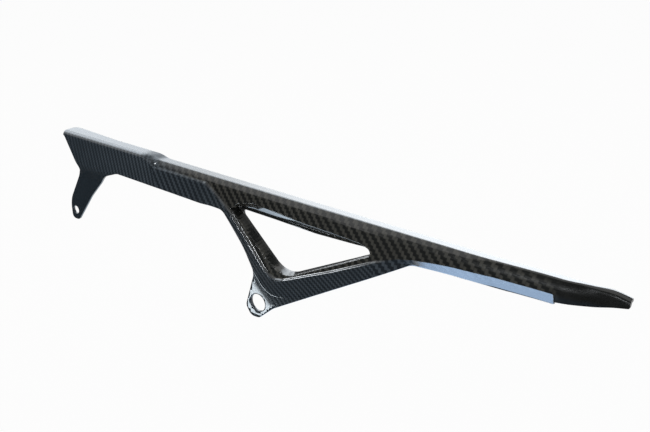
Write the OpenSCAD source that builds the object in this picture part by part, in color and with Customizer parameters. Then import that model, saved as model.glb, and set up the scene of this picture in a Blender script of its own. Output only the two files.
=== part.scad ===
// Motorcycle chain guard: one moulded sheet of carbon-fibre laminate.
// X runs along the chain to the nose, Z is up, and -Y is the outer side.
// The origin is the centre of the tab bore, on the tab's outer face.

/* [Laminate] */
// Thickness of the laminate
wall = 2; // [1.6:0.1:2.4]
// How far the tail panel stands out from the mounting faces
panel_out = 3; // [2:0.25:4.5]
// How far the beam's face is set back behind the tail panel
beam_back = 1.8; // [1:0.2:2.4]

/* [Length] */
// Distance from the tab bore to the front end of the tail
tail_reach = 200; // [196:0.5:212]
// Distance from the tab bore to the tip of the nose
nose_reach = 260.5; // [255:0.5:272]

/* [Top flange] */
// Height of the tail's top above the tab bore
tail_top = 87.3; // [86.5:0.1:89]
// Height of the beam's top above the tab bore
beam_top = 85.2; // [84.4:0.1:86]
// Distance from the mounting faces to the flange's inner edge on the beam
flange_in = 8; // [6:0.5:14]
// Extra width of the flange at the front end of the tail
flange_flare = 2.5; // [0:0.5:6]
// Outer corner radius along the tail's top
tail_round = 3.6; // [2.6:0.1:4]
// Outer corner radius along the beam's top
beam_round = 1.6; // [1.2:0.1:2.2]
// How far the beam's face leans back below its corner
crown_deep = 1.5; // [0.5:0.1:2]
// Height of the beam's face that leans back
crown_high = 6; // [5:0.25:8]

/* [Tail panel and leg] */
// Height of the panel's bottom edge above the tab bore
panel_low = 63.6; // [61:0.2:66]
// Diameter of the leg bore
leg_bore = 6.6; // [5.5:0.1:8]
// Distance from the tail's front end to the leg bore along X
leg_in = 2.5; // [1:0.5:4]
// Height of the leg bore above the tab bore
leg_z = 20.2; // [18:0.5:24]
// Radius of the leg's tip
leg_tip = 6.6; // [6:0.2:8]

/* [Beam and window] */
// Depth of the window's return at its front corner
rim_front = 6.6; // [4:0.2:7.5]
// Depth of the window's return at its rear corner
rim_rear = 2.8; // [1.5:0.1:3.5]
// Height of the window's top edge at its front corner
window_top = 65.3; // [63:0.2:66]
// Radius of the window's lower corner
window_round = 19; // [14:0.5:21]
// Depth that the beam's lower edge turns under
turn_deep = 6; // [4:0.25:7]
// Height of the turned-under facet
turn_high = 8.2; // [6.5:0.1:9]

/* [Tab] */
// Diameter of the tab bore
tab_bore = 13; // [11:0.1:14]
// Radius of the tab's tip
tab_tip = 11.4; // [10.5:0.1:12.4]

/* [Nose] */
// How far the nose's face curves inward
nose_turn = 6.2; // [3:0.2:7]
// Height of the nose's face
nose_high = 14; // [11:0.2:15]
// How far the top falls to the nose's tip
nose_drop = 2.2; // [1:0.2:4]

/* [Hidden] */

// The leg hangs from the tail's end, and its fillet runs into the panel behind it
leg_x = tail_reach - leg_in;
leg_neck = 21.5 - leg_x;
leg_root = 42 - leg_x;
leg_end = 58.5 - leg_x;
flare_from = 50 - tail_reach;
flare_to = 10 - tail_reach;

// Outer-face depths of the main surfaces
panel_y = -panel_out;
beam_y = beam_back - panel_out;
crease_z = 80.7;
step_x = -98;
step_run = 13;
step_skew = 0.9;
step_round = 5;
tail_corner = 4;
nose_round = 3;
return_run = 0.6;
ledge = 1.1;
band_tilt = 0.22;
fold_reach = 9;
fold_tilt = 0.16;
fold_dir = [0.63, 0.777];
clamp_x = -28;
clamp_tilt = 0.12;
sweep_in = 2.6;
flange_gain = 1.2;
fall_run = 17;
edge_drop = 2.5;
nose_x = 219;
nose_rise = 2.6;
blend_from = nose_reach - 28.5;
blend_to = nose_reach - 12.5;
past = 6;
far_out = 40;
sheet_end = max(tail_reach, leg_x + leg_tip) + 2;

// Lower boundary of the beam's face: crease, ridge round the window, then the facet's top
ridge = [
    [-104, crease_z], [-44, crease_z], [-35, 75.1], [-27, 68.7], [-21, 63.8], [-4.3, 45.8],
    [8, 31], [12.5, 27.3], [18.6, 25.6], [25, 26.8], [31, 29.4], [67, 45.8], [101, 62.6],
    [116.7, 68.6], [131, 71.6], [143, 73.3], [155, 74.6], [182, 76.2], [220, 76.2]
];
// Fold over the window: where the beam's face ends, and the foot of its slope
window_ridge = [
    [-19.5, 66.8], [-18.3, 68.7], [-14.2, 71.8], [0.4, 75.5], [41.7, 72.3], [65.5, 72],
    [88.2, 71.1], [97.1, 68.8], [100, 67.8]
];
window_foot = [[-18.7, 66.6], [-5.3, 67.6], [13.3, 67.4], [36, 68], [62.5, 68.7], [83.4, 69.4],
    [97, 68.2]];
// Lower edge of the whole sheet, passed by a margin before the outline trims it
hem = [
    [-300, 4], [leg_end - 9, 4], [leg_end - 1, panel_low - past], [-50, panel_low - past], [-36, 48],
    [-24, 40], [-14, -16], [6, -18], [42, 6], [76, 26], [114, 52], [128, 58], [150, 60],
    [300, 60]
];
// Window opening: top edge in two stretches, rear corner, lower corner
window = [
    [-20.1, window_top, 2.5], [50, window_top + 0.1, 80], [104.6, window_top + 3.7, 2.4],
    [23, 27, window_round]
];
// Side outline of the guard, each point with its corner radius
outline = [
    [-tail_reach, tail_top + past, 0], [-tail_reach, tail_top - edge_drop, 0],
    [12.4 - leg_x, panel_low - 5, 4],
    [-leg_x - leg_tip * 0.86, leg_z + leg_tip * 1.1, 24],
    [-leg_x - leg_tip * 0.78, leg_z - leg_tip * 1.25, leg_tip * 0.8],
    [-leg_x + leg_tip * 0.42, leg_z - leg_tip * 1.2, leg_tip * 0.6],
    [leg_neck, 37, 60], [leg_root, panel_low - 4.8, 24], [leg_end, panel_low + 1.5, 14],
    [-29.5, panel_low - 0.5, 7], [-11.5, 40, 50], [-3.2, 22, 14], [-5.9, 13.5, 20],
    [-tab_tip * 1.03, -tab_tip * 0.46, tab_tip * 0.44],
    [-tab_tip * 0.62, -tab_tip * 1.07, tab_tip * 0.5],
    [tab_tip * 0.05, -tab_tip * 1.04, tab_tip * 0.5],
    [14, -0.3, 30], [126, 65.9, 14], [nose_x - 1, 66.9, 0],
    [nose_x - 0.7, beam_top - nose_high, 0.8], [nose_x + 24, beam_top - nose_high + nose_rise, 60],
    [nose_reach + past, beam_top - 6.2, 0], [nose_reach + past, tail_top + past, 0]
];

function mix(a, b, t) = a + (b - a) * t;
function ease(a, b, x) = let (t = max(0, min(1, (x - a) / (b - a)))) t * t * (3 - 2 * t);
function ramp(a, b, x) = max(0, min(1, (x - a) / (b - a)));

// Outer face of the beam: flat, then curving inward at the nose
function face_y(x) =
    beam_y + sweep_in * ease(165, nose_x + 5, x) + nose_turn * ease(nose_x + 3, nose_reach - 6, x);

// Height of the flange's top; the tail steps down to the beam along a skewed line
function top_z(x, y) =
    mix(tail_top, beam_top, ease(step_x - step_run, step_x, x - step_skew * (y - panel_y)))
        - nose_drop * pow(ramp(nose_reach - fall_run, nose_reach, x), 2);

// Inner edge of the flange, rounded at the tail's far corner
function flange_y(x) =
    flange_in + flange_flare * ramp(flare_from, flare_to, x) + flange_gain * ease(180, nose_x + 6, x)
        - tail_corner + sqrt(max(0, pow(tail_corner, 2) - pow(max(tail_corner - x - tail_reach, 0), 2)));

// Radius of the outer corner, and how much of the beam's crown there is
function round_r(x) = lookup(x, [
    [step_x - step_run, tail_round], [step_x - 3, step_round], [step_x + 6, beam_round],
    [blend_from, beam_round], [blend_to, nose_round]]);
function crown_at(x) = ease(step_x - 3, step_x + 6, x) * (1 - ease(blend_from, blend_to, x));
function crown_angle(x) = atan(crown_at(x) * 2 * crown_deep / (crown_high - beam_round));
function start_z(x) = top_z(x, panel_y) - round_r(x) * (1 - sin(crown_angle(x)));
function crown(x, z) =
    let (t = max(0, z - top_z(x, panel_y) + crown_high) / (crown_high - beam_round))
    crown_at(x) * crown_deep * pow(t, 2);

// Level of the band under the ridge: panel, strut, then the lip of the turned-under edge
function band_y(x) = mix(panel_y, face_y(x) + turn_deep, ease(92, 152, x));
function strip_z(x) = mix(ledge, turn_high, ease(98, 150, x));

// How far a point lies below the ridge, measured square to it on the steep strut
function under(x, z) =
    (lookup(x, ridge) - z) * lookup(x, [[-50, 1], [-36, 0.7], [4, 0.7], [20, 1], [34, 0.9]]);

function band(x, z) =
    let (tilt = band_tilt * ease(-52, -30, x) * (1 - ease(96, 130, x)),
         flank = band_y(x) + tilt * max(0, under(x, z) - ledge),
         tab = -fold_tilt * max(0, fold_dir * [x, z] - fold_reach) - clamp_tilt * max(0, clamp_x - x),
         leg = panel_y + panel_out * ease(panel_low + 2, panel_low - 14, z))
    x < -60 ? leg : x > 96 ? flank : min(0, max(flank, tab));

// Distance outside the line from p to q
function off_line(p, q, x, z) =
    let (d = [q[0] - p[0], q[1] - p[1]]) (-(x - p[0]) * d[1] + (z - p[1]) * d[0]) / norm(d);

// Lower corner of the window: its arc's centre, and where the arc meets the straight sides
low_a = [window[3][0], window[3][1]];
low_u = ([window[0][0], window[0][1]] - low_a) / norm([window[0][0], window[0][1]] - low_a);
low_v = ([window[2][0], window[2][1]] - low_a) / norm([window[2][0], window[2][1]] - low_a);
low_half = acos(low_u * low_v) / 2;
low_mid = low_a + (low_u + low_v) / norm(low_u + low_v) * window_round / sin(low_half);
low_from = (low_a + low_u * window_round / tan(low_half))[0];
low_to = (low_a + low_v * window_round / tan(low_half))[0];

// Height of the window's lower edge
function window_low(x) =
    x < low_from ? low_a[1] + (x - low_a[0]) * low_u[1] / low_u[0]
    : x > low_to ? low_a[1] + (x - low_a[0]) * low_v[1] / low_v[0]
    : low_mid[1] - sqrt(pow(window_round, 2) - pow(x - low_mid[0], 2));
function window_high(x) = lookup(x, [for (i = [0 : 2]) [window[i][0], window[i][1]]]);

// Distance outside the window's lower sides, and beyond its rear corner
function below(x, z) =
    let (d = [x, z] - low_mid)
    d * low_u < 0 && d * low_v < 0 ? norm(d) - window_round
    : max(off_line(window[2], window[3], x, z), off_line(window[3], window[0], x, z));
rear_mid = [window[2][0] - 11.35, window_top + 0.55];
function beyond(x, z) = x > rear_mid[0] ? ramp(0, 1, norm([x, z] - rear_mid) - window[2][2] - 0.1) : 0;

// The window's edges are turned back: a sloping facet over the top, a square return elsewhere
function rim(x, z) =
    let (foot = lookup(x, window_foot), top = ramp(foot, lookup(x, window_ridge), z),
         side = ramp(0, return_run, below(x, z)))
    lookup(x, [[-18, rim_front], [13, rim_front - 0.6], [83, rim_rear]])
        * (1 - max(top, side, beyond(x, z)));

// Outer side of the web at a point of the side view
function web_y(x, z) =
    let (u = under(x, z), at_nose = ramp(nose_x - 0.5, nose_x + 0.7, x),
         plain = mix(mix(panel_y, face_y(x), ease(step_x - 3, step_x + 5, x)), band(x, z),
                     ramp(0, strip_z(x), u)))
    mix(plain + rim(x, z), face_y(x), at_nose) + crown(x, z);

// Inner side of the web: the outer side offset by the wall, as a ball rolled behind it leaves it
offsets = concat([[0, 0, 1]],
    [for (a = [0 : 45 : 315]) [0.7 * cos(a), 0.7 * sin(a), 0.714]],
    [for (a = [0 : 45 : 315]) [0.97 * cos(a), 0.97 * sin(a), 0.243]]);
function back_y(x, z) = max([for (d = offsets) web_y(x + wall * d[0], z + wall * d[1]) + wall * d[2]]);

// Heights that keep going down by at least a small gap
gap_min = 0.35;
function descend(z, i = 0, last = 1000) =
    i == len(z) ? [] : let (v = min(z[i], last - gap_min)) concat([v], descend(z, i + 1, v));

// Heights of the section's points down the web
function rows(x) =
    let (r = lookup(x, ridge), low = lookup(x, hem), start = start_z(x),
         in_window = x > -26 && x < 102,
         wt = window_high(x), wb = window_low(x),
         mid = (wt + wb) / 2, t = max(wt, mid + 0.6), b = min(wb, mid - 0.6),
         tilt = x < low_from ? 1.34 : x > low_to ? 1.12 : 1,
         foot = max(t + 0.5, lookup(x, window_foot)), fold = max(foot + 0.5, lookup(x, window_ridge)),
         upper = in_window ? [mix(start, fold, 0.25), mix(start, fold, 0.5), fold,
                              mix(fold, foot, 0.5), foot, t]
                           : [for (i = [1 : 6]) mix(start, r + 0.2, i / 6.5)],
         core = in_window ? [mix(t, b, 0.5), b + 0.1, b - return_run * tilt,
                             b - wall * tilt, b - (wall + return_run) * tilt]
                          : [for (i = [1 : 5]) mix(r + 0.2, r - strip_z(x), i / 5)],
         next = min(r, core[4] - gap_min), end = min(next - 0.5, r - strip_z(x) * 1.4),
         rest = [for (i = [0 : 4]) mix(end, low, i / 4)])
    descend(concat([start], upper, core, [next], rest));

// One section: the outer side from the flange's inner edge down, and the inner side back
function section(x) =
    let (z = rows(x), n = len(z) - 1, r = round_r(x), y0 = web_y(x, z[0]), ye = flange_y(x),
         a0 = 90 - crown_angle(x), yc = y0 + r * sin(a0),
         arc = [for (k = [0 : 4]) let (a = k * a0 / 4, y = yc - r * sin(a))
                   [y, top_z(x, y) - r + r * cos(a)]],
         ri = max(0.3, r - wall), low_in = top_z(x, panel_y) - wall - ri,
         y1 = back_y(x, low_in), yi = y1 + ri,
         arc_in = [for (k = [0 : 4]) let (a = k * 22.5, y = yi - ri * sin(a))
                      [y, top_z(x, y) - wall - ri + ri * cos(a)]],
         far = max(ye, yi + 1),
         outer = concat([for (y = [far, mix(far, yc, 0.5)]) [y, top_z(x, y)]], arc,
                        [for (i = [1 : n]) [web_y(x, z[i]), z[i]]]),
         inner = concat([for (y = [far, mix(far, yi, 0.5)]) [y, top_z(x, y) - wall]], arc_in,
                        [for (i = [1 : n]) let (h = min(z[i], low_in - 0.1 * i)) [back_y(x, h), h]]))
    concat([for (p = outer) [x, p[0], p[1]]],
           [for (i = [len(inner) - 1 : -1 : 0]) [x, inner[i][0], inner[i][1]]]);

// Section places: close together where the form changes quickly
function span(a, b, gap) = let (n = ceil((b - a) / gap)) [for (i = [0 : n - 1]) a + (b - a) * i / n];
leg_far = min(flare_from, -119);
stations = concat(
    [-sheet_end, -tail_reach - 0.8, 0.8 - tail_reach, 3.2 - tail_reach],
    span(9 - tail_reach, leg_far, 7), span(leg_far, -118, 8), span(-118, -92, 3.2), span(-92, -50, 9),
    span(-50, -28, 3.6), span(-28, 34, 2.5), span(34, 86, 4.6), span(86, 104, 2.6),
    span(104, 156, 4.6), span(156, nose_x - 1.6, 8.6), [nose_x - 1.3, nose_x - 0.5, nose_x + 0.8],
    span(nose_x + 4, nose_reach - 5, 4.4), [nose_reach - 5, nose_reach - 2, nose_reach]);

module sheet() {
    rings = [for (x = stations) section(x)];
    m = len(rings[0]);
    n = len(rings);
    last = (n - 1) * m;
    sides = [for (i = [0 : n - 2], j = [0 : m - 1])
        let (k = (j + 1) % m, a = i * m + j, b = i * m + k, c = (i + 1) * m + k, d = (i + 1) * m + j)
        each [[a, c, b], [a, d, c]]];
    ends = [for (j = [0 : m / 2 - 2])
        let (p = j, q = j + 1, s = m - 2 - j, t = m - 1 - j)
        each [[p, s, t], [p, q, s], [last + p, last + s, last + q], [last + p, last + t, last + s]]];
    polyhedron([for (ring = rings) each ring], concat(sides, ends));
}

// A polygon whose corners are rounded by arcs
function corner(a, b, c, r) =
    let (u = (a - b) / norm(a - b), v = (c - b) / norm(c - b),
         half = acos(max(-1, min(1, u * v))) / 2,
         reach = min(r / tan(half), norm(a - b) * 0.49, norm(c - b) * 0.49),
         fit = reach * tan(half), m = b + (u + v) / norm(u + v) * (fit / sin(half)),
         from = b + u * reach, to = b + v * reach,
         a0 = atan2(from[1] - m[1], from[0] - m[0]), a1 = atan2(to[1] - m[1], to[0] - m[0]),
         turn = a1 - a0 > 180 ? a1 - a0 - 360 : a1 - a0 < -180 ? a1 - a0 + 360 : a1 - a0,
         steps = max(2, ceil(abs(turn) / 15)))
    r < 0.01 ? [b]
    : [for (i = [0 : steps]) let (a = a0 + turn * i / steps) m + fit * [cos(a), sin(a)]];
function rounded(points) =
    let (n = len(points), p = [for (q = points) [q[0], q[1]]])
    [for (i = [0 : n - 1]) each corner(p[(i + n - 1) % n], p[i], p[(i + 1) % n], points[i][2])];

// Side shapes are drawn in the XZ plane and pushed through the guard
module through_side() {
    rotate([90, 0, 0]) translate([0, 0, -far_out]) linear_extrude(2 * far_out) children();
}

module bore(x, z, d) {
    translate([x, far_out / 2, z]) rotate([90, 0, 0]) cylinder(d = d, h = far_out, $fn = 48);
}

module guard_shell() {
    color([0.12, 0.14, 0.17])
    difference() {
        sheet();
        through_side() difference() {
            translate([-tail_reach - far_out, -far_out])
                square([tail_reach + nose_reach + 2 * far_out, tail_top + 2 * far_out]);
            polygon(rounded(outline));
        }
        through_side() polygon(rounded(window));
        bore(0, 0, tab_bore);
        bore(-leg_x, leg_z, leg_bore);
    }
}

guard_shell();
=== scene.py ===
import math

import bpy
import numpy as np
from bpy.props import FloatProperty, FloatVectorProperty, PointerProperty
from mathutils import Matrix, Vector
from mathutils.geometry import delaunay_2d_cdt
from mathutils.kdtree import KDTree


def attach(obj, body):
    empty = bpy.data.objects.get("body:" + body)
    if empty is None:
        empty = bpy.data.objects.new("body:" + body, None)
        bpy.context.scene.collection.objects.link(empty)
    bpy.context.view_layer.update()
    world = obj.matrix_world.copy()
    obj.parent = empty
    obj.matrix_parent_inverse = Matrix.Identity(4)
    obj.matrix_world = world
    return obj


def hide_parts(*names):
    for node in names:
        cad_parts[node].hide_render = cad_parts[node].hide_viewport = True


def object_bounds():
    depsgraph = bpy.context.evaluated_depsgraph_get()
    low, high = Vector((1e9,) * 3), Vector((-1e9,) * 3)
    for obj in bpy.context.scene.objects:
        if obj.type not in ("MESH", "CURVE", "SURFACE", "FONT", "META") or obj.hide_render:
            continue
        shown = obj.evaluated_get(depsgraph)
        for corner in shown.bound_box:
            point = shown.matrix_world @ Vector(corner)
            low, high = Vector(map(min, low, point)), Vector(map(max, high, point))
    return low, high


bl_info = {
    "name": "Chain Guard",
    "version": (1, 0, 0),
    "blender": (4, 5, 0),
    "location": "3D View > Sidebar > Chain Guard",
    "description": "Builds a clear-coated woven carbon chain guard and its studio",
    "category": "Object",
}

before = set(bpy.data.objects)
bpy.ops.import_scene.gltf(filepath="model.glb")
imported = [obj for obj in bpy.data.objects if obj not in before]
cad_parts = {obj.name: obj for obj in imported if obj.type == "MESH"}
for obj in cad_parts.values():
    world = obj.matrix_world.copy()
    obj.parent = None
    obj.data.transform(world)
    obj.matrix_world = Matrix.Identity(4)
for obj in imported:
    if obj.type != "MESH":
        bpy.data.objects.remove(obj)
CAD_BOX = [[float(v) for v in corner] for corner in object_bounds()]
MM = 0.001

# ---------------------------------------------------------------- lines of the moulding
# In millimetres in the frame of the part: X to the nose, Z up, -Y to the outer side,
# origin at the tab bore. A run is the stretch of X or Z over which something changes.
WALL = 2.0
TAIL_X, NOSE_X, NOSE_END = -200.0, 219.0, 260.5
TAIL_TOP, BEAM_TOP = 87.3, 85.2
PANEL_Y, BEAM_Y = -3.0, -1.2

# The riser between the tail's flange and the beam's: its front end, length and slant
STEP_X, STEP_RUN, STEP_SKEW = -98.0, 13.0, 0.9
PANEL_RUN = (STEP_X - 3, STEP_X + 5)

# The crown under the beam's corner: set-back, height, the corner's radius and the two ends
CROWN_DEEP, CROWN_HIGH, BEAM_ROUND = 1.5, 6.0, 1.6
CROWN_START, CROWN_FADE = (STEP_X - 3, STEP_X + 6), (232, 248)
CORNER_RADII = [
    (STEP_X - STEP_RUN, 3.6), (CROWN_START[0], 5), (CROWN_START[1], BEAM_ROUND),
    (CROWN_FADE[0], BEAM_ROUND), (CROWN_FADE[1], 3)]

# The nose: how far the face leans in, turns in and the flange drops
FACE_LEAN, LEAN_RUN = 2.6, (165, 224)
NOSE_TURN, TURN_RUN = 6.2, (222, NOSE_END - 6)
NOSE_FALL, FALL_RUN = 2.2, (NOSE_END - 17, NOSE_END)

# The flange: its inner edge, wider on the tail and the nose, and its rounded rear corner
FLANGE_Y, TAIL_ROUND = 8, 4
TAIL_WIDER, TAIL_WIDER_RUN = 2.5, (-150, -190)
NOSE_WIDER, NOSE_WIDER_RUN = 1.2, (180, 225)

# The fold line that parts the beam's face from the lower band, and the slope below it
RIDGE = np.array([
    (-104, 80.7), (-44, 80.7), (-35, 75.1), (-27, 68.7), (-21, 63.8), (-4.3, 45.8), (8, 31),
    (12.5, 27.3), (18.6, 25.6), (25, 26.8), (31, 29.4), (67, 45.8), (101, 62.6), (116.7, 68.6),
    (131, 71.6), (143, 73.3), (155, 74.6), (182, 76.2), (220, 76.2)])
RIDGE_SOFT = 1.2
RIDGE_LEAN = [(-50, 1), (-36, 0.7), (4, 0.7), (20, 1), (34, 0.9)]
LEDGE, STRIP, STRIP_RUN = 1.1, 8.2, (98, 150)
STRIP_IN, STRIP_IN_RUN = 6.0, (92, 152)
BAND_TILT, TILT_RUN, TILT_FADE = 0.22, (-52, -30), (96, 130)
TAB_TILT, TAB_WAY, TAB_FROM = 0.16, (0.63, 0.777), 9
STRUT_TILT, STRUT_FROM = 0.12, -28
LEG_RUN = (65.6, 49.6)
LEG_FRONT, BAND_FRONT = -60, 96

# The window, its ridge and foot lines, and the depth and width of its turned-back edge
WINDOW = [(-20.1, 65.3, 2.5), (50, 65.4, 80), (104.6, 69.0, 2.4), (23, 27, 19)]
WINDOW_RIDGE = [
    (-19.5, 66.8), (-18.3, 68.7), (-14.2, 71.8), (0.4, 75.5), (41.7, 72.3), (65.5, 72.0),
    (88.2, 71.1), (97.1, 68.8), (100, 67.8)]
WINDOW_SOFT = 1.0
WINDOW_FOOT = [
    (-18.7, 66.6), (-5.3, 67.6), (13.3, 67.4), (36, 68), (62.5, 68.7), (83.4, 69.4), (97, 68.2)]
RETURN_DEEP, RETURN_RUN = [(-18, 6.6), (13, 6.0), (83, 2.8)], 0.6
REAR_CORNER = (93.25, 65.85, 2.5)

# The web's outline from the tail's top down the leg, round the tab and along to the nose
OUTLINE = [
    (TAIL_X, 84.8, 0.6), (-185.1, 58.6, 4), (-203.2, 27.5, 24), (-202.6, 12.0, 5.3),
    (-194.7, 12.3, 4), (-176, 37, 60), (-155.5, 58.8, 24), (-139, 65.1, 14), (-29.5, 63.1, 7),
    (-11.5, 40, 50), (-3.2, 22, 14), (-5.9, 13.5, 20), (-11.7, -5.2, 5), (-7.1, -12.2, 5.7),
    (0.6, -11.9, 5.7), (14, -0.3, 30), (126, 65.9, 14), (NOSE_X - 1, 66.9, 1.0),
    (NOSE_X - 0.7, 71.2, 0.8), (NOSE_X + 24, 73.8, 60), (NOSE_END - 0.1, 77.7, 1.4)]
STRIP_END = (NOSE_X - 0.3, NOSE_X + 0.7)
TAB_BORE, LEG_BORE = (0.0, 0.0, 6.5), (-197.5, 20.2, 3.3)

# Places round a point over which a fold is softened, and a ball's directions for the wall
SOFT, SLANT = 0.34, 0.24
AROUND = (
    (SOFT, 0), (-SOFT, 0), (0, SOFT), (0, -SOFT),
    (SLANT, SLANT), (SLANT, -SLANT), (-SLANT, SLANT), (-SLANT, -SLANT))
BALL = [(0, 0, 1)] + [
    (out * math.cos(a), out * math.sin(a), deep)
    for out, deep in ((0.7, 0.714), (0.97, 0.243)) for a in np.arange(8) * math.pi / 4]


# ---------------------------------------------------------------- form of the moulding
def ramp(a, b, x):
    return np.clip((x - a) / (b - a), 0.0, 1.0)


def ease(a, b, x):
    t = ramp(a, b, x)
    return t * t * (3 - 2 * t)


def mix(a, b, t):
    return a + (b - a) * t


def along(x, line):
    line = np.asarray(line, float)
    return np.interp(x, line[:, 0], line[:, 1])


def unit(v):
    return v / np.linalg.norm(v)


def soft_along(x, line, reach):
    """A guide line whose corners are rounded over a short reach."""
    return (along(x - reach, line) + along(x - reach / 2, line) + 2 * along(x, line)
            + along(x + reach / 2, line) + along(x + reach, line)) / 6


def face_y(x):
    return BEAM_Y + FACE_LEAN * ease(*LEAN_RUN, x) + NOSE_TURN * ease(*TURN_RUN, x)


def top_z(x, y):
    """Height of the flange's top: tail, riser, beam, and the fall to the nose's tip."""
    t = ease(STEP_X - STEP_RUN, STEP_X, x - STEP_SKEW * (y - PANEL_Y))
    return mix(TAIL_TOP, BEAM_TOP, t) - NOSE_FALL * ramp(*FALL_RUN, x) ** 2


def corner_r(x):
    return soft_along(x, CORNER_RADII, 1.5)


def inner_r(r):
    return np.maximum(0.3, r - WALL)


def crown_at(x):
    return ease(*CROWN_START, x) * (1 - ease(*CROWN_FADE, x))


def crown_angle(x):
    return np.arctan(crown_at(x) * 2 * CROWN_DEEP / (CROWN_HIGH - BEAM_ROUND))


def crown(x, z):
    """The beam's face leans back more and more towards its corner."""
    t = np.maximum(0, z - top_z(x, PANEL_Y) + CROWN_HIGH) / (CROWN_HIGH - BEAM_ROUND)
    return crown_at(x) * CROWN_DEEP * t ** 2


def flange_y(x):
    """Depth of the flange's inner edge."""
    wide = (FLANGE_Y + TAIL_WIDER * ramp(*TAIL_WIDER_RUN, x)
            + NOSE_WIDER * ease(*NOSE_WIDER_RUN, x))
    past = np.maximum(TAIL_ROUND - (x - TAIL_X), 0)
    return wide - (TAIL_ROUND - np.sqrt(np.maximum(TAIL_ROUND ** 2 - past ** 2, 0)))


def strip_z(x):
    """Height of the slope below the ridge: a ledge, and a wide strip towards the nose."""
    return mix(LEDGE, STRIP, ease(*STRIP_RUN, x))


def under(x, z):
    """Distance below the ridge, measured across it."""
    return (soft_along(x, RIDGE, RIDGE_SOFT) - z) * along(x, RIDGE_LEAN)


def band_y(x, z):
    """Outer side below the ridge: leg, strut and tab, lower band, and strip."""
    level = mix(PANEL_Y, face_y(x) + STRIP_IN, ease(*STRIP_IN_RUN, x))
    tilt = BAND_TILT * ease(*TILT_RUN, x) * (1 - ease(*TILT_FADE, x))
    flank = level + tilt * np.maximum(0, under(x, z) - LEDGE)
    tab = (-TAB_TILT * np.maximum(0, TAB_WAY[0] * x + TAB_WAY[1] * z - TAB_FROM)
           - STRUT_TILT * np.maximum(0, STRUT_FROM - x))
    leg = PANEL_Y - PANEL_Y * ease(*LEG_RUN, z)
    band = np.where(x > BAND_FRONT, flank, np.minimum(0, np.maximum(flank, tab)))
    return np.where(x < LEG_FRONT, leg, band)


def off_line(p, q, x, z):
    """Distance to the left of the line from p to q."""
    d = np.array([q[0] - p[0], q[1] - p[1]], float)
    return (-(x - p[0]) * d[1] + (z - p[1]) * d[0]) / np.linalg.norm(d)


# The window's lower corner: its sides' directions and the middle of its arc
LOW, LOW_R = np.array(WINDOW[3][:2], float), WINDOW[3][2]
LOW_U = unit(np.array(WINDOW[0][:2], float) - LOW)
LOW_V = unit(np.array(WINDOW[2][:2], float) - LOW)
LOW_HALF = math.acos(float(LOW_U @ LOW_V)) / 2
LOW_MID = LOW + unit(LOW_U + LOW_V) * LOW_R / math.sin(LOW_HALF)


def below(x, z):
    """Distance outside the window's two lower sides and the arc between them."""
    dx, dz = x - LOW_MID[0], z - LOW_MID[1]
    in_arc = (dx * LOW_U[0] + dz * LOW_U[1] < 0) & (dx * LOW_V[0] + dz * LOW_V[1] < 0)
    sides = np.maximum(off_line(WINDOW[2], WINDOW[3], x, z), off_line(WINDOW[3], WINDOW[0], x, z))
    return np.where(in_arc, np.hypot(dx, dz) - LOW_R, sides)


def rim(x, z):
    """Turned-back edge of the window: a sloping facet on top, a square return elsewhere."""
    foot, ridge = along(x, WINDOW_FOOT), soft_along(x, WINDOW_RIDGE, WINDOW_SOFT)
    top = np.clip((z - foot) / (ridge - foot), 0, 1)
    side = ramp(0, RETURN_RUN, below(x, z))
    rear = ramp(0, 1, np.hypot(x - REAR_CORNER[0], z - REAR_CORNER[1]) - REAR_CORNER[2])
    rear = np.where(x > REAR_CORNER[0], rear, 0)
    return along(x, RETURN_DEEP) * (1 - np.maximum(top, np.maximum(side, rear)))


def web_plain(x, z):
    """Outer side of the web before its folds are softened."""
    upper = mix(PANEL_Y, face_y(x), ease(*PANEL_RUN, x))
    plain = mix(upper, band_y(x, z), ramp(0, strip_z(x), under(x, z)))
    return mix(plain + rim(x, z), face_y(x), ramp(*STRIP_END, x)) + crown(x, z)


def web_y(x, z):
    """Outer side with every fold softened over a fraction of a millimetre."""
    total = 2 * web_plain(x, z)
    for dx, dz in AROUND:
        total = total + web_plain(x + dx, z + dz)
    return total / (len(AROUND) + 2)


def back_y(x, z):
    """Inner side: the outer side offset by the wall, as a ball rolled behind it leaves it."""
    return np.max([web_plain(x + WALL * a, z + WALL * b) + WALL * c for a, b, c in BALL], axis=0)


# ---------------------------------------------------------------- outlines
SIDE_SHARE = 0.49       # most of a straight side that a corner's arc may take
CLOSEST = 0.08          # points nearer than this are one point


def rounded(corners, step, closed=True):
    """Corner points with radii, as one run of points with arcs at the corners."""
    pts, n = [], len(corners)
    for i, (cx, cz, r) in enumerate(corners):
        b = np.array([cx, cz], float)
        if not closed and i in (0, n - 1):
            pts.append(b)
            continue
        a = np.array(corners[(i - 1) % n][:2], float)
        c = np.array(corners[(i + 1) % n][:2], float)
        la, lc = np.linalg.norm(a - b), np.linalg.norm(c - b)
        u, v = (a - b) / la, (c - b) / lc
        half = math.acos(max(-1, min(1, float(u @ v)))) / 2
        reach = min(r / math.tan(half), la * SIDE_SHARE, lc * SIDE_SHARE)
        fit = reach * math.tan(half)
        mid = b + unit(u + v) * fit / math.sin(half)
        start, end = b + u * reach - mid, b + v * reach - mid
        a0, a1 = math.atan2(start[1], start[0]), math.atan2(end[1], end[0])
        turn = (a1 - a0 + math.pi) % (2 * math.pi) - math.pi
        k = max(3, int(abs(turn) * fit / step) + 1)
        angles = [a0 + turn * j / k for j in range(k + 1)]
        pts += [mid + fit * np.array([math.cos(t), math.sin(t)]) for t in angles]
    return np.array(pts)


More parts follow.
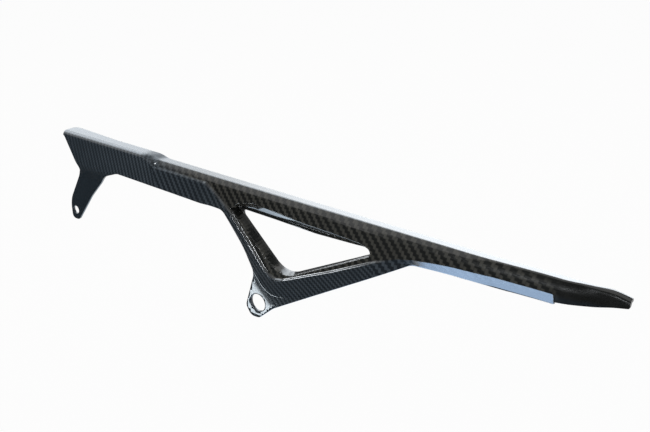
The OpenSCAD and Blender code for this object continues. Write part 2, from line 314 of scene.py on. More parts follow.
def spaced(pts, step, closed):
    """The same run with its long stretches divided."""
    out, n = [], len(pts)
    for i in range(n if closed else n - 1):
        a, b = pts[i], pts[(i + 1) % n]
        k = max(1, int(math.ceil(np.linalg.norm(b - a) / step)))
        out += [a + (b - a) * j / k for j in range(k)]
    if not closed:
        out.append(pts[-1])
    keep = [out[0]]
    for p in out[1:]:
        if np.linalg.norm(p - keep[-1]) > CLOSEST:
            keep.append(p)
    return np.array(keep)


def circle(x, z, r, n=72):
    t = np.arange(n) * 2 * math.pi / n
    return np.stack([x + r * np.cos(t), z + r * np.sin(t)], 1)


def inward(loop, closed, side):
    """Unit normals that point from a rim into the sheet."""
    if closed:
        d = np.roll(loop, -1, 0) - np.roll(loop, 1, 0)
    else:
        d = np.gradient(loop, axis=0)
    d /= np.linalg.norm(d, axis=1)[:, None]
    return np.stack([-d[:, 1], d[:, 0]], 1) * side


def inside(loop, pts):
    """Which points lie inside a closed loop."""
    x, z = pts[:, 0], pts[:, 1]
    hit = np.zeros(len(pts), bool)
    before = np.vstack([loop[-1:], loop[:-1]])
    for (x0, z0), (x1, z1) in zip(before, loop):
        if z0 == z1:
            continue
        crosses = (z0 > z) != (z1 > z)
        hit ^= crosses & (x < (x1 - x0) * (z - z0) / (z1 - z0) + x0)
    return hit


# Section places along the guard, start, end and gap: close together where the flange turns
COLUMN_RUNS = [
    (TAIL_X, -199.0, 0.2), (-199.0, -195.0, 0.5), (-195, -124, 2.4), (-124, -88, 0.7),
    (-88, 150, 2.4), (150, 216, 2.4), (216, 245, 1.4), (245, NOSE_END - 1, 0.9),
    (NOSE_END - 1, NOSE_END, 0.25)]


def columns():
    out = []
    for a, b, gap in COLUMN_RUNS:
        n = int(math.ceil((b - a) / gap))
        out += [a + (b - a) * i / n for i in range(n)]
    return np.array(out + [NOSE_END])


# ---------------------------------------------------------------- building the sheet's mesh
ROUND = 0.38                            # rounding of every free rim of the web
RINGS = (0.0, 0.03, 0.1, 0.2, ROUND)    # depths of the rows of points along a rim
DEEP = 9.0                              # depth of the points that no rim reaches
RIM_FADE = 1.5                          # height over which a rim's rounding ends under the flange
ARC_STEP, EDGE_STEP, WINDOW_STEP = 0.4, 0.9, 0.8
GRID, GRID_X, GRID_Z = 2.4, (-206, 266), (-14, 88)
CLEAR = 0.3                             # room kept between a rim's points and the grid
NO_AREA = 1e-4                          # of a triangle whose points lie in one line
EDGE = 0.5                              # rounding of the flange's free edge
EDGE_CLOTH = 1.2                        # cloth that the free edge takes up
LEAST_FLAT = 1.3                        # least width of the flange inside its fold
FOLD_STEPS = FLAT_STEPS = 9


def lattice(form, tol, finest):
    """Grid points that get closer wherever the form bends."""
    step = GRID
    gx, gz = np.meshgrid(np.arange(*GRID_X, step), np.arange(*GRID_Z, step), indexing="ij")
    cells = np.stack([gx.ravel(), gz.ravel()], 1)
    found = []
    while True:
        x, z = cells[:, 0], cells[:, 1]
        found.append(cells)
        h = step / 2
        if h < finest:
            break
        mid = form(x, z)
        bend = np.max([np.abs(form(x + a, z + b) + form(x - a, z - b) - 2 * mid)
                       for a, b in ((h, 0), (0, h), (h, h), (h, -h))], axis=0)
        need = cells[bend > tol]
        if not len(need):
            break
        step = h
        near = np.concatenate([need + np.array((a, b)) * step for a in (-1, 0, 1) for b in (-1, 0, 1)])
        cells = np.unique(np.round(near / step * 4).astype(int), axis=0) * (step / 4)
    pts = np.concatenate(found)
    return np.unique(np.round(pts / 0.01).astype(int), axis=0) * 0.01


def tree_of(flat):
    """Finds the nearest of a run of flat points."""
    tree = KDTree(len(flat))
    for i, (x, z) in enumerate(flat):
        tree.insert((x, z, 0), i)
    tree.balance()
    return tree


def triangulate(rims, pts, open_top):
    """One flat mesh of the side view: rims as its edges, grid points inside."""
    verts, edges, depths = [], [], []

    def add(run, closed, depth):
        base, n = len(verts), len(run)
        verts.extend(tuple(p) for p in run)
        depths.extend([depth] * n)
        edges.extend((base + i, base + (i + 1) % n) for i in range(n if closed else n - 1))

    for loop, closed, side in rims:
        into = inward(loop, closed, side)
        for depth in RINGS:
            add(loop + into * depth, closed, depth)
    add(open_top, False, DEEP)
    tree = tree_of(verts)
    kept = [tuple(p) for p in pts if tree.find((p[0], p[1], 0))[2] > CLEAR]
    verts += kept
    depths += [DEEP] * len(kept)
    co, _, faces, orig, _, _ = delaunay_2d_cdt([Vector(v) for v in verts], edges, [], 0, 1e-5)
    depth_of = np.array([depths[o[0]] if o else DEEP for o in orig])
    return np.array([(c[0], c[1]) for c in co]), [tuple(f) for f in faces], depth_of


def sheet_mesh():
    """Flat meshes of both sides, with the rims and the flange's section places."""
    cols = columns()
    r_out = corner_r(cols)
    start = top_z(cols, PANEL_Y) - r_out * (1 - np.sin(crown_angle(cols)))
    start_in = top_z(cols, PANEL_Y) - WALL - inner_r(r_out)
    free = [(TAIL_X, start[0], 0)] + OUTLINE + [(NOSE_END, float(start[-1]), 0)]
    free = spaced(rounded(free, ARC_STEP, closed=False), EDGE_STEP, False)
    window = spaced(rounded(WINDOW, ARC_STEP), WINDOW_STEP, True)
    holes = [window, circle(*TAB_BORE), circle(*LEG_BORE)]
    # Each rim: its points, whether it closes, and which side the sheet is on (1 for left)
    rims = [(free, False, 1), (window, True, 1), (holes[1], True, -1), (holes[2], True, -1)]

    def on_sheet(border, pts):
        ok = inside(border, pts)
        for hole in holes:
            ok &= ~inside(hole, pts)
        return ok

    sides = []
    for form, tol, finest, level in ((web_y, 0.012, 0.29, start), (back_y, 0.05, 0.55, start_in)):
        top = np.stack([cols, level], 1)
        border = np.vstack([free, top[::-1][1:-1]])
        pts = lattice(form, tol, finest)
        flat, faces, depths = triangulate(rims, pts[on_sheet(border, pts)], top[1:-1])
        mids = np.array([flat[list(f)].mean(0) for f in faces])
        faces = [f for f, ok in zip(faces, on_sheet(border, mids)) if ok]
        sides.append((flat, faces, depths, form))
    return cols, start, start_in, rims, sides


def flange_rows(cols, start, start_in):
    """Rows of the flange, from the web's outer top to its inner one: depth, height, cloth."""
    r_out = corner_r(cols)
    r_in = inner_r(r_out)
    first = math.pi / 2 - crown_angle(cols)
    y_turn = web_y(cols, start) + r_out * np.sin(first)
    y_turn_in = back_y(cols, start_in) + r_in
    y_far = np.minimum(np.maximum(flange_y(cols), y_turn_in + LEAST_FLAT), CAD_BOX[1][1] / MM)
    y_edge = y_far - EDGE
    rows = []
    for k in np.linspace(1, 0, FOLD_STEPS + 1)[1:]:
        a = first * k
        y = y_turn - r_out * np.sin(a)
        rows.append((y, top_z(cols, y) - r_out + r_out * np.cos(a), start + r_out * (first - a)))
    across = np.linspace(0, 1, FLAT_STEPS + 1)[1:]
    bend = start + r_out * first
    for t in across:
        y = mix(y_turn, y_edge, t)
        rows.append((y, top_z(cols, y), bend + y - y_turn))
    last = rows[-1][2]
    for a in np.radians([22.5, 45, 67.5, 90]):
        y = y_edge + EDGE * math.sin(a)
        rows.append((y, top_z(cols, y) - EDGE + EDGE * math.cos(a), last + EDGE * a))
    last = last + EDGE_CLOTH
    for a in np.radians([90, 67.5, 45, 22.5, 0]):
        y = y_edge + EDGE * math.sin(a)
        z = top_z(cols, y) - WALL + EDGE - EDGE * math.cos(a)
        rows.append((y, z, last + EDGE * (math.pi / 2 - a)))
    for t in across[::-1][1:]:
        y = mix(y_turn_in, y_edge, t)
        rows.append((y, top_z(cols, y) - WALL, bend + y - y_turn))
    for a in np.radians([0, 15, 30, 45, 60, 75]):
        y = y_turn_in - r_in * math.sin(a)
        z = top_z(cols, y) - WALL - r_in + r_in * math.cos(a)
        rows.append((y, z, start_in + r_in * (math.pi / 2 - a)))
    return rows


def build_arrays():
    """Vertices, faces and places on the cloth of the whole laminate, in millimetres."""
    cols, start, start_in, rims, sides = sheet_mesh()
    verts, faces, cloth, places = [], [], [], []

    def add(points, weave):
        base = len(verts)
        verts.extend(points)
        cloth.extend(weave)
        return base

    for index, (flat, tris, depths, form) in enumerate(sides):
        x, z = flat[:, 0], flat[:, 1]
        top_near = np.clip((np.interp(x, cols, start) - z) / RIM_FADE, 0, 1)
        lost = np.maximum(ROUND - depths, 0)
        roll = (ROUND - np.sqrt(np.maximum(ROUND ** 2 - lost ** 2, 0))) * top_near
        y = form(x, z) + (roll if index == 0 else -roll)
        base = add(list(zip(x, y, z)), list(zip(x, z)))
        for f in tris:
            a, b, c = (flat[i] for i in f)
            area = (b[0] - a[0]) * (c[1] - a[1]) - (b[1] - a[1]) * (c[0] - a[0])
            if abs(area) < NO_AREA:
                continue
            outward = (area > 0) == (index == 0)
            faces.append(tuple(base + i for i in (f if outward else f[::-1])))
        places.append((tree_of(flat), base))

    def ids(side, run):
        tree, base = places[side]
        return [base + tree.find((p[0], p[1], 0))[1] for p in run]

    # Walls of the rims, from the outer side to the inner one
    for loop, closed, side in rims:
        front, back = ids(0, loop), ids(1, loop)
        n = len(front)
        for i in range(n if closed else n - 1):
            j = (i + 1) % n
            if front[i] != front[j]:
                quad = (front[i], front[j], back[j], back[i])
                faces.append(quad[::-1] if closed and side > 0 else quad)

    # Flange: sections joined to the web's two top rows
    grid = [ids(0, np.stack([cols, start], 1))]
    for y, z, v in flange_rows(cols, start, start_in):
        base = add(list(zip(cols, y, z)), list(zip(cols, v)))
        grid.append([base + i for i in range(len(cols))])
    grid.append(ids(1, np.stack([cols, start_in], 1)))
    for row, after in zip(grid, grid[1:]):
        for i in range(len(cols) - 1):
            faces.append((row[i], row[i + 1], after[i + 1], after[i]))

    # End faces of the flange, between the outer half of a section and the inner one
    for i, flip in ((0, False), (len(cols) - 1, True)):
        ring = [row[i] for row in grid]
        a, b = 0, len(ring) - 1
        while b - a > 1:
            end = (ring[a], ring[a + 1], ring[b - 1], ring[b])
            end = tuple(dict.fromkeys(end))
            faces.append(end[::-1] if flip else end)
            a, b = a + 1, b - 1
    return np.array(verts, float), faces, np.array(cloth, float)


# ---------------------------------------------------------------- cloth and finish of a point
# Each patch of cloth: tow width in millimetres and turn in degrees
CLOTH = {
    "tail": (1.31, -33.0), "panel": (1.75, -17.0), "beam": (2.05, -8.0), "band": (1.28, 0.0)}
TAIL, PANEL, BEAM, BAND = range(len(CLOTH))
BEND = ((-101.0, 82.3), (-94.3, 65.7))      # line in which the tail's cloth meets the beam's
PANEL_FRONT, BAND_CLOTH_FRONT = -26, 100
TOWS_PER_UV = 100.0

# On the beam the tows widen towards the nose: places along X, and tow width between them
BEAM_X, BEAM_TOWS = (-120, 60, 150, 270), (1.86, 2.05, 2.28)
BEAM_COUNT = np.concatenate([[0.0], np.cumsum(np.diff(BEAM_X) / BEAM_TOWS)])

# How the finish, with the painted light and shade in it, changes along the guard: place along X and
# value
CONTRAST = [(-200, 0.35), (-170, 0.6), (-120, 1.0), (215, 1.0), (224, 0.1)]
# Painted light and shade: the cloth lighter on the tail and darker on the nose, standing in for what
# they reflect
PAINTED_LIGHT = [(-200, 1.5), (-110, 1.25), (-80, 1.0), (205, 1.0), (224, 0.75)]
RISER = [(-112, 0), (-106, 1), (-97, 1), (-92, 0)]
PAST_BEND = [(-97, 0), (-90, 1), (-65, 0.8), (-30, 0)]
# Shares: the tows' painted sheen taken off the leg, the painted shade on the set-back return, the coat
# taken off the crease ledge as painted shade, and off the riser and just past the bend
LEG_PLAIN, RETURN_SHADE, LEDGE_SHADE, BEND_COAT_CUT = 0.95, 0.5, 0.95, 0.6


def bend_x(z):
    (x0, z0), (x1, z1) = BEND
    return x0 + (z0 - z) * (x1 - x0) / (z0 - z1)


def patch_of(x, z):
    """Which patch of cloth covers a point of the web."""
    low = under(x, z) > 0.2
    patch = np.full(np.shape(x), BEAM)
    patch = np.where(low & (x < BAND_CLOTH_FRONT), BAND, patch)
    patch = np.where(low & (x < PANEL_FRONT), PANEL, patch)
    return np.where(x < bend_x(z), TAIL, patch)


def lay_cloth(flat, patch):
    """Weave coordinates in tows, for a point's length along X and its developed height."""
    x, v = flat[:, 0], flat[:, 1]
    out = np.zeros_like(flat)
    for index, (tow, turn) in enumerate(CLOTH.values()):
        a = math.radians(turn)
        u = np.interp(x, BEAM_X, BEAM_COUNT) if index == BEAM else x / tow
        w = v / tow
        turned = np.stack(
            [u * math.cos(a) + w * math.sin(a), -u * math.sin(a) + w * math.cos(a)], 1)
        out = np.where((patch == index)[:, None], turned, out)
    return out


def look_of(x, y, z):
    """Contrast of the weave's painted sheen, its warmth, the painted light and shade, and the coat's
    weight at a point.
    """
    low, depth = under(x, z), top_z(x, y) - z
    beam = ramp(-1, 1, x - bend_x(z)) * (1 - ramp(0, 1, low))
    leg = ramp(64, 58, z) * (1 - ramp(-130, -120, x))
    inner = ramp(1.5, 3.5, y) * ramp(62, 66, z)
    # The contrast scales the tows' painted sheen: lower on the tail, the leg, the inner side and the
    # nose
    contrast = along(x, CONTRAST) * (1 - LEG_PLAIN * leg) * (1 - inner)
    warm = beam * ramp(-100, -60, x)
    # Painted shade on the parts set back from the outer side low down, such as the window's
    # turned-back edge
    set_back_shade = ramp(0.6, 2.0, y) * ramp(70, 64, z)
    light = along(x, PAINTED_LIGHT) * (1 - RETURN_SHADE * set_back_shade)
    # The coat is thinned on the crease ledge as painted shade for the dark groove there, and on the
    # riser and just past the bend, which takes their reflections away
    ledge = (ramp(-1.2, 0, low) * (1 - ramp(0, 0.6, low - strip_z(x)))
             * ramp(-114, -110, x) * (1 - ramp(-48, -42, x)))
    riser = along(x, RISER) * ramp(5, 3, depth)
    past_bend = along(x, PAST_BEND) * ramp(1.2, 3, depth)
    gloss = (1 - LEDGE_SHADE * ledge) * (1 - BEND_COAT_CUT * riser) * (1 - BEND_COAT_CUT * past_bend)
    return np.stack([contrast, warm, light, gloss], 1)


def dress_mesh(mesh, verts, cloth):
    """Lays the cloth on the faces and writes the look of each point."""
    ids = np.zeros(len(mesh.loops), np.int32)
    mesh.loops.foreach_get("vertex_index", ids)
    sizes = np.zeros(len(mesh.polygons), np.int32)
    mesh.polygons.foreach_get("loop_total", sizes)
    owner = np.repeat(np.arange(len(sizes)), sizes)
    mid_x, mid_z = (np.bincount(owner, weights=verts[ids][:, axis]) / sizes for axis in (0, 2))
    tows = lay_cloth(cloth[ids], patch_of(mid_x, mid_z)[owner])
    layer = mesh.uv_layers.new(name="cloth")
    layer.data.foreach_set("uv", (tows / TOWS_PER_UV).astype(np.float32).ravel())
    look = mesh.attributes.new("look", "FLOAT_COLOR", "POINT")
    look.data.foreach_set("color", look_of(*verts.T).astype(np.float32).ravel())


# ---------------------------------------------------------------- shader helpers
def feed(tree, socket, value):
    """Sets a socket to a number or colour, or links another socket to it."""
    if isinstance(value, (int, float, tuple)):
        socket.default_value = value
    else:
        tree.links.new(value, socket)


def calc(tree, op, *values):
    """One arithmetic node; each value is a socket or a number."""
    node = tree.nodes.new("ShaderNodeMath")
    node.operation = op
    for socket, value in zip(node.inputs, values):
        feed(tree, socket, value)
    return node.outputs[0]


def spread(tree, value, low, high):
    """A share from 0 to 1, spread from low to high."""
    return calc(tree, "MULTIPLY_ADD", value, high - low, low)


def blend(tree, kind, factor, a, b):
    """Mix of two values or colours."""
    node = tree.nodes.new("ShaderNodeMix")
    node.data_type = kind
    slots, out = {"FLOAT": ((0, 2, 3), 0), "RGBA": ((0, 6, 7), 2)}[kind]
    for i, value in zip(slots, (factor, a, b)):
        feed(tree, node.inputs[i], value)
    return node.outputs[out]


def scale_vector(tree, vector, factor):
    node = tree.nodes.new("ShaderNodeVectorMath")
    node.operation = "SCALE"
    feed(tree, node.inputs[0], vector)
    feed(tree, node.inputs["Scale"], factor)
    return node.outputs[0]


def noise(tree, vector, scale):
    node = tree.nodes.new("ShaderNodeTexNoise")
    feed(tree, node.inputs["Vector"], vector)
    feed(tree, node.inputs["Scale"], scale)
    return node.outputs["Fac"]


def cover(tree, share, under_it, over_it):
    """Material output: one shader over another by a share."""
    node = tree.nodes.new("ShaderNodeMixShader")
    for i, value in enumerate((share, under_it, over_it)):
        feed(tree, node.inputs[i], value)
    tree.links.new(node.outputs[0], tree.nodes["Material Output"].inputs[0])


def seen_directly(tree):
    """1 for the camera's own rays and those that a gloss or a clear body sends on."""
    path = tree.nodes.new("ShaderNodeLightPath").outputs
    sent_on = calc(tree, "MAXIMUM", path["Is Glossy Ray"], path["Is Transmission Ray"])
    return calc(tree, "MAXIMUM", path["Is Camera Ray"], sent_on)


def rgba(colour):
    return tuple(colour) + (1.0,)


# ---------------------------------------------------------------- laminate
FIBRES, ALONG_FIBRE = 7.0, 0.35     # fibre streaks across a tow and along it
PATCHES = 90.0                      # scale of the uneven light and dark in the cloth


def twill_group():
    """Two-over-two twill: which tow lies on top, how high it stands and its fibres."""
    tree = bpy.data.node_groups.new("twill_weave", "ShaderNodeTree")
    tree.interface.new_socket(name="Tows", in_out="INPUT", socket_type="NodeSocketVector")
    tree.interface.new_socket(name="Fibre Scale", in_out="INPUT", socket_type="NodeSocketFloat")
    for name in ("Upright", "Height", "Fibre"):
        tree.interface.new_socket(name=name, in_out="OUTPUT", socket_type="NodeSocketFloat")
    start, end = tree.nodes.new("NodeGroupInput"), tree.nodes.new("NodeGroupOutput")
    split = tree.nodes.new("ShaderNodeSeparateXYZ")
    tree.links.new(start.outputs["Tows"], split.inputs[0])
    px, py = split.outputs[0], split.outputs[1]
    fx, fy = calc(tree, "FRACT", px), calc(tree, "FRACT", py)
    cell = calc(tree, "ADD", calc(tree, "FLOOR", px), calc(tree, "FLOOR", py))
    turn = calc(tree, "FLOORED_MODULO", cell, 4.0)
    upright = calc(tree, "LESS_THAN", turn, 1.5)

    def arch(t):
        side = spread(tree, t, -1.0, 1.0)
        return calc(tree, "SUBTRACT", 1.0, calc(tree, "MULTIPLY", side, side))

    def height(across, along_it, shift):
        reach = calc(tree, "ADD", calc(tree, "SUBTRACT", turn, shift), along_it)
        span = calc(tree, "MAXIMUM", arch(calc(tree, "MULTIPLY", reach, 0.5)), 0.0)
        return calc(tree, "MULTIPLY", calc(tree, "POWER", arch(across), 0.6),
                    calc(tree, "POWER", span, 0.5))

    def streaks(x_scale, y_scale):
        place = tree.nodes.new("ShaderNodeCombineXYZ")
        feed(tree, place.inputs[0], calc(tree, "MULTIPLY", px, x_scale))
        feed(tree, place.inputs[1], calc(tree, "MULTIPLY", py, y_scale))
        return noise(tree, place.outputs[0], 1.0)

    fine = start.outputs["Fibre Scale"]
    results = {
        "Upright": upright,
        "Height": blend(tree, "FLOAT", upright, height(fy, fx, 2.0), height(fx, fy, 0.0)),
        "Fibre": blend(tree, "FLOAT", upright, streaks(ALONG_FIBRE, fine), streaks(fine, ALONG_FIBRE)),
    }
    for name, socket in results.items():
        tree.links.new(socket, end.inputs[name])
    return tree


def laminate_material(s):
    """Carbon twill under a glossy clear coat."""
    mat = bpy.data.materials.new("clear_coated_twill")
    mat.use_nodes = True
    tree = mat.node_tree
    bsdf = tree.nodes["Principled BSDF"]
    uv = tree.nodes.new("ShaderNodeUVMap")
    uv.uv_map = "cloth"
    weave = tree.nodes.new("ShaderNodeGroup")
    weave.node_tree = twill_group()
    feed(tree, weave.inputs["Fibre Scale"], FIBRES)
    feed(tree, weave.inputs["Tows"], scale_vector(tree, uv.outputs[0], TOWS_PER_UV))
    upright, height, fibre = (weave.outputs[name] for name in ("Upright", "Height", "Fibre"))
    look = tree.nodes.new("ShaderNodeAttribute")
    look.attribute_name = "look"
    split = tree.nodes.new("ShaderNodeSeparateColor")
    tree.links.new(look.outputs["Color"], split.inputs[0])
    contrast, warm, light = split.outputs[0], split.outputs[1], split.outputs[2]
    place = tree.nodes.new("ShaderNodeTexCoord").outputs["Object"]

    # The twill's pattern is the cloth's own; the light colour of the upright tows is painted sheen
    # standing in for the tows' reflections, against the dark lying tows, unevenly, and by the contrast
    # of the place
    sheen_mask = calc(tree, "MULTIPLY", upright, spread(tree, height, 0.5, 1.0))
    sheen_mask = calc(tree, "MULTIPLY", sheen_mask, spread(tree, noise(tree, place, PATCHES), 0.6, 1.4))
    sheen_mask = calc(tree, "MULTIPLY", sheen_mask, contrast)
    sheen_colour = blend(tree, "RGBA", warm, rgba(s.tow_cool_sheen), rgba(s.tow_warm_sheen))
    dark = blend(tree, "RGBA", warm, rgba(s.tow_dark), rgba(s.tow_shade))
    # Fibre streaks, times the painted light and shade of the place
    shade = calc(tree, "MULTIPLY", spread(tree, fibre, 0.55, 1.45), light)
    colour = scale_vector(tree, blend(tree, "RGBA", sheen_mask, dark, sheen_colour), shade)
    bump = tree.nodes.new("ShaderNodeBump")
    feed(tree, bump.inputs["Strength"], 0.15)
    feed(tree, bump.inputs["Distance"], 0.00025)
    feed(tree, bump.inputs["Height"], calc(tree, "MULTIPLY", height, contrast))
    settings = {
        "Base Color": colour,
        "Roughness": spread(tree, fibre, 0.36, 0.50),
        "Normal": bump.outputs[0],
        "Specular IOR Level": 0.08,
        # The coat's weight carries the painted shade on the crease ledge and the thinner coat on the
        # riser and past the bend
        "Coat Weight": look.outputs["Alpha"],
        "Coat Roughness": 0.05,
        "Coat IOR": 1.5,
    }
    for name, value in settings.items():
        feed(tree, bsdf.inputs[name], value)
    return mat


# ---------------------------------------------------------------- settings and operators
class GuardFinish(bpy.types.PropertyGroup):
    tow_dark: FloatVectorProperty(
        name="Dark tows", description="Colour of the tows that lie along the guard",
        size=3, default=(0.012, 0.018, 0.024), subtype="COLOR")
    # Painted sheen: the upright tows' reflection on the tail, with a painted blue tint of the mirrored
    # surroundings
    tow_cool_sheen: FloatVectorProperty(
        name="Light tows", description="Colour of the upright tows on the tail",
        size=3, default=(0.052, 0.066, 0.080), subtype="COLOR")
    tow_shade: FloatVectorProperty(
        name="Shaded tows", description="Colour of the lying tows on the beam",
        size=3, default=(0.010, 0.011, 0.010), subtype="COLOR")
    # Painted sheen: the upright tows' reflection on the beam, with a warm tint
    tow_warm_sheen: FloatVectorProperty(
        name="Warm tows", description="Colour of the upright tows on the beam",
        size=3, default=(0.058, 0.057, 0.050), subtype="COLOR")


class StudioSettings(bpy.types.PropertyGroup):
    azimuth: FloatProperty(
        name="Azimuth", description="Camera direction round the guard",
        default=math.radians(38.69), subtype="ANGLE")
    elevation: FloatProperty(
        name="Elevation", description="Camera height angle",
        default=math.radians(22.61), subtype="ANGLE")
    eye: FloatVectorProperty(
        name="Eye", description="Camera position", size=3,
        default=(0.4277, -0.4586, 0.3264), subtype="TRANSLATION", unit="LENGTH")
    backdrop: FloatVectorProperty(
        name="Backdrop", description="Colour of floor and backdrop", size=3,
        default=(0.98, 0.98, 0.98), subtype="COLOR")
    fill: FloatProperty(
        name="Fill", description="Strength of the even light from all round",
        default=0.7, min=0, max=1, subtype="FACTOR")
    key: FloatProperty(
        name="Key", description="Level of the overhead key light", default=0.8, min=0)


MERGE = 0.004           # points of the mesh nearer than this are one point
SMOOTH_BELOW = 48       # degrees at a fold that still reads as smooth


class GUARD_OT_shell(bpy.types.Operator):
    """Moulds the laminate: web, flange, folds, window and lugs in one closed sheet"""
    bl_idname = "guard.shell"
    bl_label = "Moulded Laminate"

    def execute(self, context):
        bpy.ops.object.select_all(action="DESELECT")
        verts, faces, cloth = build_arrays()
        mesh = bpy.data.meshes.new("moulded_laminate")
        mesh.from_pydata((verts * MM).tolist(), [], faces)
        mesh.validate()
        piece = bpy.data.objects.new("moulded_laminate", mesh)
        context.collection.objects.link(piece)
        dress_mesh(mesh, verts, cloth)
        context.view_layer.objects.active = piece
        piece.select_set(True)
        bpy.ops.object.mode_set(mode="EDIT")
        bpy.ops.mesh.select_all(action="SELECT")
        bpy.ops.mesh.remove_doubles(threshold=MERGE * MM)
        bpy.ops.mesh.fill_holes(sides=24)
        bpy.ops.mesh.normals_make_consistent(inside=False)
        bpy.ops.object.mode_set(mode="OBJECT")
        bpy.ops.object.shade_smooth_by_angle(angle=math.radians(SMOOTH_BELOW))
        piece.select_set(False)
        mesh.materials.append(laminate_material(context.scene.guard_finish))
        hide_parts("guard_shell")
        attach(piece, "root")
        return {"FINISHED"}


FOCAL, PICTURE, SENSOR = 1000, 650, 36      # focal length and picture width in pixels, and in mm
FLOOR_Z, FLOOR_SIDE, FLOOR_LIFT = -0.16, 8, 0.9
AIM = (0.0, 0.0, 0.05)                      # what the lamp and the far cards face
KEY_PLACE, KEY_SIDE = (128.7, 71.4, 1.6), 1.2
UP, INWARD, TO_GUARD = (0.0, 0.0, 1.0), (0.0, 1.0, 0.0), (-0.52, -0.56, -0.7)
BLACK = (0.0, 0.0, 0.0)
# Soft boxes and black flags that only the gloss mirrors, by the direction that they stand in:
# azimuth, elevation and distance, size, soft share of each half side, level, colour
FAR_CARDS = [
    ("back_box", (98.0, 26.0, 1.6), (3.6, 1.3), (0.98, 0.4), 7.2, (0.90, 0.95, 1.0)),
    ("tail_box", (147.0, 17.0, 1.55), (0.80, 0.55), (0.6, 0.5), 2.7, (0.88, 0.94, 1.0)),
    ("left_box", (163.0, 46.0, 1.5), (2.3, 1.25), (0.6, 0.6), 5.2, (0.86, 0.93, 1.0)),
    ("low_left_box", (187.0, 17.0, 1.2), (0.70, 0.22), (0.3, 0.5), 16.0, (0.90, 0.95, 1.0)),
    ("front_strip", (272.0, 6.0, 1.2), (0.30, 0.40), (0.3, 0.3), 60.0, (0.92, 0.96, 1.0)),
    ("upright_flag", (252.0, 8.0, 1.1), (0.50, 1.0), (0.4, 0.5)),
    ("rear_flag", (128.0, -3.0, 1.4), (1.9, 0.54), (0.1, 0.2)),
    ("left_front_flag", (217.0, -3.0, 1.15), (1.0, 0.8), (0.2, 0.6)),
]
# The same by their place: middle, the way they face, size, softness, level, colour, roll
NEAR_CARDS = [
    ("facet_card", (0.064, 0.035, -0.150), UP, (0.23, 0.120), (0.12, 0.3), 4.2, (0.50, 0.70, 1.0)),
    ("slope_card", (-0.150, 0.100, -0.149), UP, (0.20, 0.160), (0.2, 0.3), 1.5, (0.72, 0.86, 1.0)),
    ("tab_card", (-0.1759, -0.1816, -0.1332), INWARD, (0.040, 0.060), (0.1, 0.1), 13.0,
     (0.84, 0.93, 1.0), 48.7),
    ("crease_flag", (-0.105, -0.20, 0.072), INWARD, (0.060, 0.060), (0.1, 0.1)),
    ("nose_flag", (0.20, -0.36, 0.08), INWARD, (0.32, 0.30), (0.1, 0.1)),
    ("high_nose_flag", (0.15, -0.36, 0.37), INWARD, (0.42, 0.38), (0.2, 0.3)),
    ("floor_flag", (-0.2, -0.55, -0.155), UP, (2.2, 1.04), (0.02, 0.02)),
    ("rear_floor_flag", (-0.8, 0.75, -0.153), UP, (1.0, 0.95), (0.1, 0.1)),
    ("right_flag", (0.52, 0.56, 0.75), TO_GUARD, (0.95, 1.0), (0.2, 0.2)),
]


def placed(piece, middle, facing, roll=0.0):
    """Stands a lamp or card at a point with its face along a direction, turned by a roll."""
    turn = Vector(facing).to_track_quat("-Z", "Y").to_matrix().to_4x4()
    turn = turn @ Matrix.Rotation(math.radians(roll), 4, "Z")
    piece.matrix_world = Matrix.Translation(Vector(middle)) @ turn


def toward(azimuth, elevation, far):
    """A point in a direction given in degrees, and the way back to the guard's middle."""
    a, e = math.radians(azimuth), math.radians(elevation)
    way = Vector((math.cos(e) * math.cos(a), math.cos(e) * math.sin(a), math.sin(e)))
    return Vector(AIM) + way * far, -way


def key_lamp(middle, facing, side, level):
    """The overhead lamp that lights the cloth and the floor."""
    lamp = bpy.data.lights.new("overhead_key", "AREA")
    lamp.shape = "SQUARE"
    lamp.size = side
    lamp.energy = level * math.pi * side * side
    piece = bpy.data.objects.new("overhead_key", lamp)
    placed(piece, middle, facing)
    bpy.context.collection.objects.link(piece)
    piece.visible_camera = piece.visible_glossy = piece.visible_transmission = False


def card_material(name, soft, level, colour):
    """Even glow of a soft box, or black, that fades out towards the edges."""
    mat = bpy.data.materials.new(name)
    mat.use_nodes = True
    tree = mat.node_tree
    tree.nodes.remove(tree.nodes["Principled BSDF"])
    split = tree.nodes.new("ShaderNodeSeparateXYZ")
    tree.links.new(tree.nodes.new("ShaderNodeTexCoord").outputs["UV"], split.inputs[0])
    shares = []
    for axis, share in enumerate(soft):
        from_middle = calc(tree, "ABSOLUTE", spread(tree, split.outputs[axis], -1.0, 1.0))
        fade = tree.nodes.new("ShaderNodeMapRange")
        fade.interpolation_type = "SMOOTHSTEP"
        feed(tree, fade.inputs["Value"], from_middle)
        feed(tree, fade.inputs["From Min"], 1.0)
        feed(tree, fade.inputs["From Max"], 1.0 - share)
        shares.append(fade.outputs[0])
    glow = tree.nodes.new("ShaderNodeEmission")
    feed(tree, glow.inputs["Color"], rgba(colour))
    feed(tree, glow.inputs["Strength"], level)
    clear = tree.nodes.new("ShaderNodeBsdfTransparent")
    cover(tree, calc(tree, "MULTIPLY", *shares), clear.outputs[0], glow.outputs[0])
    return mat


def card(name, middle, facing, size, soft, level=0.0, colour=BLACK, roll=0.0):
    """A soft box or black flag that only the gloss mirrors."""
    bpy.ops.mesh.primitive_plane_add(size=1)
    piece = bpy.context.active_object
    piece.name = name
    piece.scale = (*size, 1)
    bpy.ops.object.transform_apply(location=False, rotation=False, scale=True)
    placed(piece, middle, facing, roll)
    piece.data.materials.append(card_material(name, soft, level, colour))
    piece.visible_camera = piece.visible_diffuse = False
    piece.visible_shadow = piece.visible_transmission = False


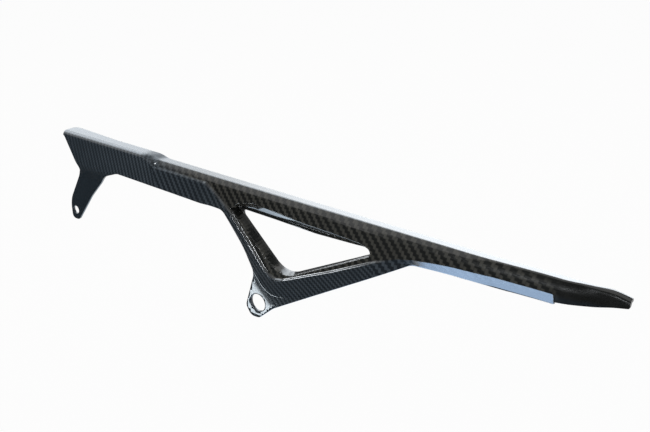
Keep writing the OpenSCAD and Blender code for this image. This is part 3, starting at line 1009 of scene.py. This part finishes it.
def floor_material(s):
    """Pale floor: its own colour under the lamps, lifted to white for the camera and the gloss."""
    mat = bpy.data.materials.new("pale_floor")
    mat.use_nodes = True
    tree = mat.node_tree
    bsdf = tree.nodes["Principled BSDF"]
    feed(tree, bsdf.inputs["Base Color"], rgba(s.backdrop))
    feed(tree, bsdf.inputs["Roughness"], 1.0)
    feed(tree, bsdf.inputs["Specular IOR Level"], 0.0)
    glow = tree.nodes.new("ShaderNodeEmission")
    lift = calc(tree, "MULTIPLY", seen_directly(tree), FLOOR_LIFT)
    cover(tree, lift, bsdf.outputs[0], glow.outputs[0])
    return mat


def stand_camera(scene, s):
    """Camera with its optical axis along the picture's middle."""
    cam = bpy.data.cameras.new("camera")
    cam.sensor_width = SENSOR
    cam.lens = FOCAL / PICTURE * SENSOR
    cam.clip_start = 0.01
    eye = bpy.data.objects.new("camera", cam)
    ca, sa = math.cos(s.azimuth), math.sin(s.azimuth)
    ce, se = math.cos(s.elevation), math.sin(s.elevation)
    right = Vector((ca, sa, 0))
    up = Vector((-sa * se, ca * se, ce))
    back = Vector((sa * ce, -ca * ce, se))
    turn = Matrix((right, up, back)).transposed().to_4x4()
    eye.matrix_world = Matrix.Translation(Vector(s.eye)) @ turn
    scene.collection.objects.link(eye)
    scene.camera = eye


def light_world(scene, s):
    """White where it is seen or mirrored, and an even fill light otherwise."""
    scene.world = bpy.data.worlds.new("studio")
    scene.world.use_nodes = True
    tree = scene.world.node_tree
    white = tree.nodes["Background"]
    feed(tree, white.inputs["Color"], rgba((1, 1, 1)))
    feed(tree, white.inputs["Strength"], blend(tree, "FLOAT", seen_directly(tree), s.fill, 1.0))


class GUARD_OT_studio(bpy.types.Operator):
    """Sets the floor, the soft lights and the camera"""
    bl_idname = "guard.studio"
    bl_label = "Studio"

    def execute(self, context):
        s, scene = context.scene.guard_studio, context.scene
        scene.view_settings.view_transform = "Standard"
        stand_camera(scene, s)
        light_world(scene, s)
        bpy.ops.object.select_all(action="DESELECT")
        bpy.ops.mesh.primitive_plane_add(size=FLOOR_SIDE, location=(0, 0, FLOOR_Z))
        floor = context.active_object
        floor.name = "floor"
        floor.data.materials.append(floor_material(s))
        key_lamp(*toward(*KEY_PLACE), KEY_SIDE, s.key)
        for name, way, *rest in FAR_CARDS:
            card(name, *toward(*way), *rest)
        for row in NEAR_CARDS:
            card(*row)
        return {"FINISHED"}


class GUARD_PT_panel(bpy.types.Panel):
    bl_idname = "GUARD_PT_panel"
    bl_label = "Chain Guard"
    bl_space_type = "VIEW_3D"
    bl_region_type = "UI"
    bl_category = "Chain Guard"

    def draw(self, context):
        layout = self.layout
        for name in ("tow_dark", "tow_cool_sheen", "tow_shade", "tow_warm_sheen"):
            layout.prop(context.scene.guard_finish, name)
        layout.operator("guard.shell")
        for name in ("azimuth", "elevation", "eye", "backdrop", "fill", "key"):
            layout.prop(context.scene.guard_studio, name)
        layout.operator("guard.studio")


CLASSES = (GuardFinish, StudioSettings, GUARD_OT_shell, GUARD_OT_studio, GUARD_PT_panel)


def register():
    for cls in CLASSES:
        bpy.utils.register_class(cls)
    bpy.types.Scene.guard_finish = PointerProperty(type=GuardFinish)
    bpy.types.Scene.guard_studio = PointerProperty(type=StudioSettings)


def unregister():
    del bpy.types.Scene.guard_studio
    del bpy.types.Scene.guard_finish
    for cls in reversed(CLASSES):
        bpy.utils.unregister_class(cls)


def main():
    register()
    bpy.ops.guard.studio()
    bpy.ops.guard.shell()


if __name__ == "__main__":
    main()
